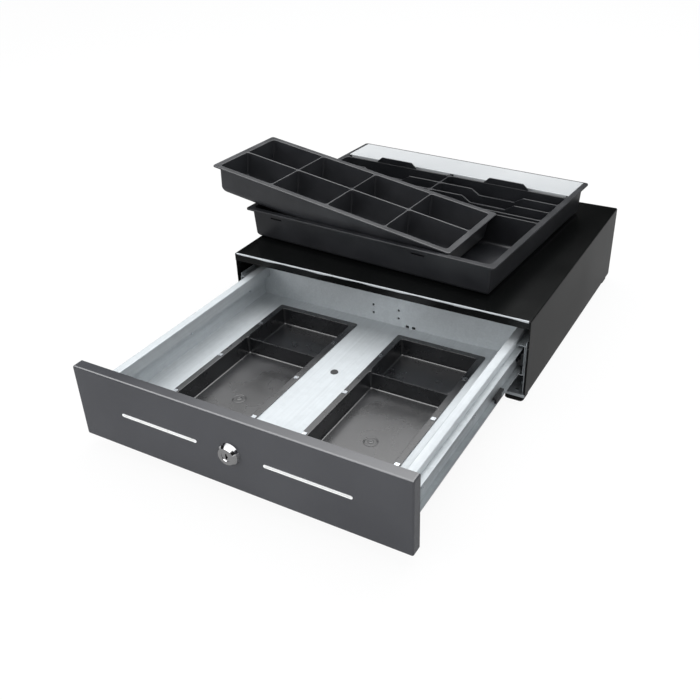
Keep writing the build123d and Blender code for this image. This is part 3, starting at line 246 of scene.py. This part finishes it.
# Feet: moulded black rubber, screwed through the base.
# Rubber is dull, with a dusty bloom.
rubber, tree, place = start("moulded_rubber")
bloom = add(tree, "ShaderNodeTexNoise", {"Scale": 160.0, "Detail": 5.0}, {"Vector": place})
grit = add(tree, "ShaderNodeTexNoise", {"Scale": 1500.0}, {"Vector": place})
colour = add(
    tree, "ShaderNodeValToRGB", {"stops": [(0.35, "#0b0b0b"), (0.75, "#1a1a1b")]}, {"Fac": bloom["Fac"]}
)
bump = add(tree, "ShaderNodeBump", {"Strength": 0.3, "Distance": 0.0003}, {"Height": grit["Fac"]})
coat(
    tree,
    {"Roughness": 0.85, "IOR": 1.52, "Specular IOR Level": 0.3},
    {"Base Color": colour["Color"], "Normal": bump["Normal"]},
)
dress(["rubber_feet"], rubber)


# Slides: cold-rolled steel channels with a bright zinc plate, and steel balls in a pressed cage.
# Rolling leaves fine lines along the slide, and the plate is brighter than the base's.
slide_parts = ("slide_outer", "slide_inner", "ball_cage")
slide_nodes = [f"{part}_{hand}" for part in slide_parts for hand in ("left", "right")]
dress(slide_nodes, sheet_zinc("zinc_plated_slide_steel", "#8e9396", "#b4b9bc", 1, 0.4, 0.6))


# Screws, rivets, clips and the latch's small parts: turned or pressed steel, bright zinc plate.
# The plate is bright, with a slight blue passivation and worn high spots.
zinc, tree, place = start("bright_zinc_plate")
wear = add(tree, "ShaderNodeTexNoise", {"Scale": 420.0, "Detail": 4.0}, {"Vector": place})
colour = add(
    tree, "ShaderNodeValToRGB", {"stops": [(0.3, "#a9afb6"), (0.7, "#dcdfe2")]}, {"Fac": wear["Fac"]}
)
dull = add(
    tree,
    "ShaderNodeMapRange",
    {"From Min": 0.3, "From Max": 0.7, "To Min": 0.36, "To Max": 0.2},
    {"Value": wear["Fac"]},
)
coat(tree, {"Metallic": 1.0}, {"Base Color": colour["Color"], "Roughness": dull["Result"]})
dress(
    [
        "panel_screws",
        "foot_screws",
        "slide_screws",
        "drawer_slide_screws",
        "fascia_screws",
        "base_screws",
        "bin_clips",
        "hook_pin",
        "solenoid_frame",
        "solenoid_plunger",
        "plunger_pin",
        "striker_pin",
        "latch_hook",
        "lock_nut",
        "lock_cam",
        "cam_screw",
    ],
    zinc,
)


# Bumpers, release levers, jack, ejector and sensor: moulded black nylon.
# Moulded nylon is a little greyer than the ABS, with a fine spark-eroded grain.
nylon, tree, place = start("moulded_nylon")
grain = add(tree, "ShaderNodeTexNoise", {"Scale": 1800.0, "Detail": 2.0}, {"Vector": place})
patch = add(tree, "ShaderNodeTexNoise", {"Scale": 60.0, "Detail": 3.0}, {"Vector": place})
colour = add(
    tree, "ShaderNodeValToRGB", {"stops": [(0.3, "#141415"), (0.7, "#262628")]}, {"Fac": patch["Fac"]}
)
bump = add(tree, "ShaderNodeBump", {"Strength": 0.2, "Distance": 0.0002}, {"Height": grain["Fac"]})
coat(tree, {"Roughness": 0.5, "IOR": 1.53}, {"Base Color": colour["Color"], "Normal": bump["Normal"]})
dress(
    [
        "slide_bumpers",
        "release_levers",
        "interface_socket",
        "ejector_housing",
        "ejector_pusher",
        "closed_sensor",
        "floor_plug",
    ],
    nylon,
)


# Latch coil: enamelled wire wound on a bobbin and wrapped in amber tape.
# The tape is glossy, and the turns show through it as fine rings.
tape, tree, place = start("polyimide_tape")
turns = add(
    tree, "ShaderNodeTexWave", {"bands_direction": "Z", "Scale": 320.0, "Distortion": 0.4}, {"Vector": place}
)
colour = add(
    tree, "ShaderNodeValToRGB", {"stops": [(0.0, "#7d5212"), (1.0, "#c08a2c")]}, {"Fac": turns["Fac"]}
)
bump = add(tree, "ShaderNodeBump", {"Strength": 0.5, "Distance": 0.0003}, {"Height": turns["Fac"]})
coat(tree, {"Roughness": 0.28, "IOR": 1.6}, {"Base Color": colour["Color"], "Normal": bump["Normal"]})
dress(["solenoid_coil"], tape)


# Drawer: one folded pan of thin galvanised sheet, brighter than the base because it is handled.
# Its floor shines along the rolling direction.
dress(["drawer_pan"], sheet_zinc("galvanised_steel_drawer", "#b6bbbe", "#c8cdd0", 1, 0.52, 0.3))


# Fascia: a folded pan of mild steel with a black powder coat.
# It is painted a shade lighter than the cover, a painted sheen for the light its front face reflects, with
# the same fine orange peel.
dress(["drawer_fascia"], powder_coat("fascia_coat_painted_sheen", "#3d3e42", "#48494d", 0.16, 1.0, 0.0009))


# Media slot liners: white ABS mouldings pressed into the fascia.
# Smooth and slightly glossy, with a trace of dust along the lips.
white, tree, place = start("moulded_white_abs")
dust = add(tree, "ShaderNodeTexNoise", {"Scale": 120.0, "Detail": 3.0}, {"Vector": place})
colour = add(
    tree, "ShaderNodeValToRGB", {"stops": [(0.3, "#f8f8f6"), (0.6, "#ffffff")]}, {"Fac": dust["Fac"]}
)
coat(tree, {"Roughness": 0.35, "IOR": 1.54}, {"Base Color": colour["Color"]})
dress(["media_slot_liners"], white)


# Lock: die-cast cylinder with a polished chrome bezel and a turning core.
# Chrome mirrors the room, with faint handling marks round the keyway.
chrome, tree, place = start("polished_chrome")
marks = add(tree, "ShaderNodeTexNoise", {"Scale": 900.0, "Detail": 6.0}, {"Vector": place})
colour = add(
    tree, "ShaderNodeValToRGB", {"stops": [(0.3, "#cfcfd1"), (0.7, "#e6e6e6")]}, {"Fac": marks["Fac"]}
)
dull = add(
    tree,
    "ShaderNodeMapRange",
    {"From Min": 0.35, "From Max": 0.75, "To Min": 0.06, "To Max": 0.16},
    {"Value": marks["Fac"]},
)
coat(tree, {"Metallic": 1.0}, {"Base Color": colour["Color"], "Roughness": dull["Result"]})
dress(["lock_housing", "lock_core", "slide_balls_left", "slide_balls_right"], chrome)


# Sensor magnet: pressed ferrite, dark grey and slightly metallic.
# Its ground faces carry fine grit.
ferrite, tree, place = start("sintered_ferrite")
grit = add(tree, "ShaderNodeTexNoise", {"Scale": 1400.0, "Detail": 3.0}, {"Vector": place})
colour = add(
    tree, "ShaderNodeValToRGB", {"stops": [(0.3, "#2a2a2b"), (0.7, "#4a4a4c")]}, {"Fac": grit["Fac"]}
)
coat(tree, {"Metallic": 0.4, "Roughness": 0.6}, {"Base Color": colour["Color"]})
dress(["sensor_magnet"], ferrite)


# Bins, till and coin tray: black ABS, injection moulded.
# The tool's fine spark-eroded grain spreads the light, so that flat floors take a grey sheen.
def abs_plastic(name, dark, light, rough, gloss):
    """Moulded black ABS."""
    made, tree, place = start(name)
    grain = add(tree, "ShaderNodeTexNoise", {"Scale": 1700.0, "Detail": 2.0}, {"Vector": place})
    cloud = add(tree, "ShaderNodeTexNoise", {"Scale": 24.0, "Detail": 4.0}, {"Vector": place})
    colour = add(
        tree, "ShaderNodeValToRGB", {"stops": [(0.3, dark), (0.75, light)]}, {"Fac": cloud["Fac"]}
    )
    dull = add(
        tree,
        "ShaderNodeMapRange",
        {"From Min": 0.3, "From Max": 0.7, "To Min": rough - 0.04, "To Max": rough + 0.04},
        {"Value": cloud["Fac"]},
    )
    bump = add(tree, "ShaderNodeBump", {"Strength": 0.1, "Distance": 0.0002}, {"Height": grain["Fac"]})
    coat(
        tree,
        {"IOR": 1.54, "Specular IOR Level": gloss},
        {"Base Color": colour["Color"], "Roughness": dull["Result"], "Normal": bump["Normal"]},
    )
    return made


bin_black = abs_plastic("moulded_black_abs_bins", "#17181a", "#232427", 0.28, 1.0)
dress(["bin_left", "bin_right"], bin_black)
dress(["till_tray"], abs_plastic("moulded_black_abs_till", "#1b1c1f", "#27282b", 0.36, 0.5))
# the coin tray is painted lighter than the till, a painted sheen for the light its tilted sides catch
dress(["coin_tray"], abs_plastic("moulded_black_abs_coin_tray_painted_sheen", "#26272a", "#333437", 0.32, 0.7))


# Gate marks: where the plastic entered each bin's mould, two low rings on the floor.
# The gate's sprue was twisted off, which left the middle raised.
def gate_ring(centre, radius, half_width, height):
    """A torus about Z whose section is an ellipse. Rows go round the ring, and columns round the section."""
    turn = np.linspace(0.0, 2 * np.pi, 64, endpoint=False)[:, None]
    section = np.linspace(0.0, 2 * np.pi, 16, endpoint=False)[None, :]
    out = radius + half_width * np.cos(section)
    points = [out * np.cos(turn), out * np.sin(turn), height * np.sin(section) + 0.0 * turn]
    return np.stack(points, axis=-1) + centre, grid_faces(64, 16, True)


GATE_Y = 0.113  # from the bin's front edge
BIN_FLOOR = 0.00205  # the ring's middle above the bin's underside, a hair over the floor
RING_SIZES = (0.0085, 0.0011, 0.0008)
PIP_SIZES = (0.0021, 0.0019, 0.0011)
for bin_name in ("bin_left", "bin_right"):
    low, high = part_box(bin_name)
    gate = np.array([(low.x + high.x) / 2, low.y + GATE_Y, low.z + BIN_FLOOR])
    for part, sizes in (("ring", RING_SIZES), ("pip", PIP_SIZES)):
        shape = gate_ring(gate, *sizes)
        make_piece(f"{bin_name}_gate_{part}", *shape, True, "drawer", "black_abs", bin_black)


# Plate over the till's rear bay: sheet steel with a pale satin paint.
# A slight orange peel and faint clouding keep it from looking flat.
dress(["till_plate"], powder_coat("pale_satin_paint", "#b3b6b8", "#c4c6c7", 0.4, 0.5, 0.0012))


# Studio floor: a white table that keeps a soft shadow under the object.
# To the camera and in gloss most of it glows, less so in gloss, and the rest is plain diffuse.
GLOW_SHARE = 0.92
GLOSS_DIM = 0.75
TABLE_REACH = 6.0
table, tree, place = start("white_table")
path = add(tree, "ShaderNodeLightPath", {}, {})
rays = {0: path["Is Camera Ray"], 1: path["Is Glossy Ray"]}
seen = add(tree, "ShaderNodeMath", {"operation": "MAXIMUM"}, rays)
seen = add(tree, "ShaderNodeMath", {"operation": "MAXIMUM"}, {0: seen[0], 1: path["Is Transmission Ray"]})
share = add(tree, "ShaderNodeMath", {"operation": "MULTIPLY", 1: GLOW_SHARE}, {0: seen[0]})
dim = add(
    tree,
    "ShaderNodeMath",
    {"operation": "MULTIPLY_ADD", 1: -GLOSS_DIM, 2: 1.0},
    {0: path["Is Glossy Ray"]},
)
glow = add(tree, "ShaderNodeEmission", {"Color": linear("#ffffff")}, {"Strength": dim[0]})
matt = add(tree, "ShaderNodeBsdfDiffuse", {"Color": linear("#f6f6f6")}, {})
mixed = add(tree, "ShaderNodeMixShader", {}, {0: share[0], 1: matt["BSDF"], 2: glow["Emission"]})
add(tree, "ShaderNodeOutputMaterial", {}, {"Surface": mixed["Shader"]})

table_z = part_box("rubber_feet")[0].z
signs = ((-1, -1), (1, -1), (1, 1), (-1, 1))
corners = [(x * TABLE_REACH, y * TABLE_REACH, table_z) for x, y in signs]
table_mesh = bpy.data.meshes.new("studio_table")
table_mesh.from_pydata(corners, [], [(0, 1, 2, 3)])
table_mesh.materials.append(table)
table_top = bpy.data.objects.new("studio_table", table_mesh)
bpy.context.scene.collection.objects.link(table_top)
table_top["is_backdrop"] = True


# Room: even pale light for matt surfaces, and white behind the object. Gloss sees a grey horizon,
# a dark flag above it, and a ceiling that grows bright between 31 and 42 degrees up.
CEILING_STRENGTH = 4.0
EVEN_STRENGTH = 0.82
world = bpy.data.worlds.new("studio_room")
bpy.context.scene.world = world
world.use_nodes = True
tree = world.node_tree
tree.nodes.clear()
path = add(tree, "ShaderNodeLightPath", {}, {})
direction = add(tree, "ShaderNodeTexCoord", {}, {})["Generated"]
height = add(tree, "ShaderNodeSeparateXYZ", {}, {"Vector": direction})["Z"]
# each stop is the sine of an angle above the horizon and the shade seen there
shades = [(0.03, "#8a8a8a"), (0.10, "#0a0a0a"), (0.52, "#0a0a0a"), (0.60, "#7a7a7a"), (0.67, "#ffffff")]
ceiling = add(tree, "ShaderNodeValToRGB", {"stops": shades}, {"Fac": height})["Color"]
even = add(tree, "ShaderNodeBackground", {"Color": linear("#f4f6f8"), "Strength": EVEN_STRENGTH}, {})
gloss = add(tree, "ShaderNodeBackground", {"Strength": CEILING_STRENGTH}, {"Color": ceiling})
white_room = add(tree, "ShaderNodeBackground", {"Color": linear("#ffffff"), "Strength": 1.0}, {})
rays = {0: path["Is Camera Ray"], 1: path["Is Transmission Ray"]}
seen = add(tree, "ShaderNodeMath", {"operation": "MAXIMUM"}, rays)
inner = add(tree, "ShaderNodeMixShader", {}, {0: path["Is Glossy Ray"], 1: even[0], 2: gloss[0]})
outer = add(tree, "ShaderNodeMixShader", {}, {0: seen[0], 1: inner[0], 2: white_room[0]})
add(tree, "ShaderNodeOutputWorld", {}, {"Surface": outer[0]})


# Lamps: a large softbox overhead and a weaker one in front on the left.
# They light matt surfaces, and the room's ceiling stands for them in gloss.
def looking(place, target):
    """The turn of something at a place that looks at a target, with Z up, as a 4 by 4 array."""
    back = (place - target) / np.linalg.norm(place - target)
    side = np.cross((0.0, 1.0, 0.0) if abs(back[2]) > 0.99 else (0.0, 0.0, 1.0), back)
    side /= np.linalg.norm(side)
    turn = np.eye(4)
    turn[:3, 0], turn[:3, 1], turn[:3, 2], turn[:3, 3] = side, np.cross(back, side), back, place
    return turn


# each lamp's name, place, target, width and height, and power
lamps = (
    ("overhead_softbox", (-0.15, 0.45, 2.0), (-0.15, 0.449, 0.0), (2.6, 2.2), 36.0),
    ("front_softbox", (-1.7, -2.3, 1.0), (0.0, -0.3, 0.05), (1.4, 1.2), 26.0),
)
for name, place, target, size, power in lamps:
    lamp = bpy.data.lights.new(name, "AREA")
    lamp.shape = "RECTANGLE"
    lamp.size, lamp.size_y = size
    lamp.energy = power
    softbox = bpy.data.objects.new(name, lamp)
    softbox.visible_glossy = False
    softbox.matrix_world = Matrix(looking(np.array(place), np.array(target)).tolist())
    bpy.context.scene.collection.objects.link(softbox)


# Camera: above the front on the right, looking down 32 degrees, with a slight roll.
# Its lens takes in 45 degrees, so that the near end of the fascia looks larger than the far end.
AZIMUTH, ELEVATION, ROLL = (math.radians(angle) for angle in (30.97, 32.08, -2.256))
EYE = np.array([0.5072, -1.1072, 0.6627])
SENSOR_MM = 36.0
LENS_MM = 43.84
flat = math.cos(ELEVATION)
back = np.array([math.sin(AZIMUTH) * flat, -math.cos(AZIMUTH) * flat, math.sin(ELEVATION)])
roll = np.eye(4)
roll[0, 0] = roll[1, 1] = math.cos(ROLL)
roll[1, 0], roll[0, 1] = math.sin(ROLL), -math.sin(ROLL)
lens = bpy.data.cameras.new("view")
lens.sensor_width = SENSOR_MM
lens.lens = LENS_MM
camera = bpy.data.objects.new("view", lens)
camera.matrix_world = Matrix((looking(EYE, EYE - back) @ roll).tolist())
bpy.context.scene.collection.objects.link(camera)
bpy.context.scene.camera = camera
bpy.context.scene.view_settings.view_transform = "Standard"

sizes = {
    "cad": [list(map(float, corner)) for corner in cad_box],
    "visual": [list(map(float, corner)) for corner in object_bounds()],
}
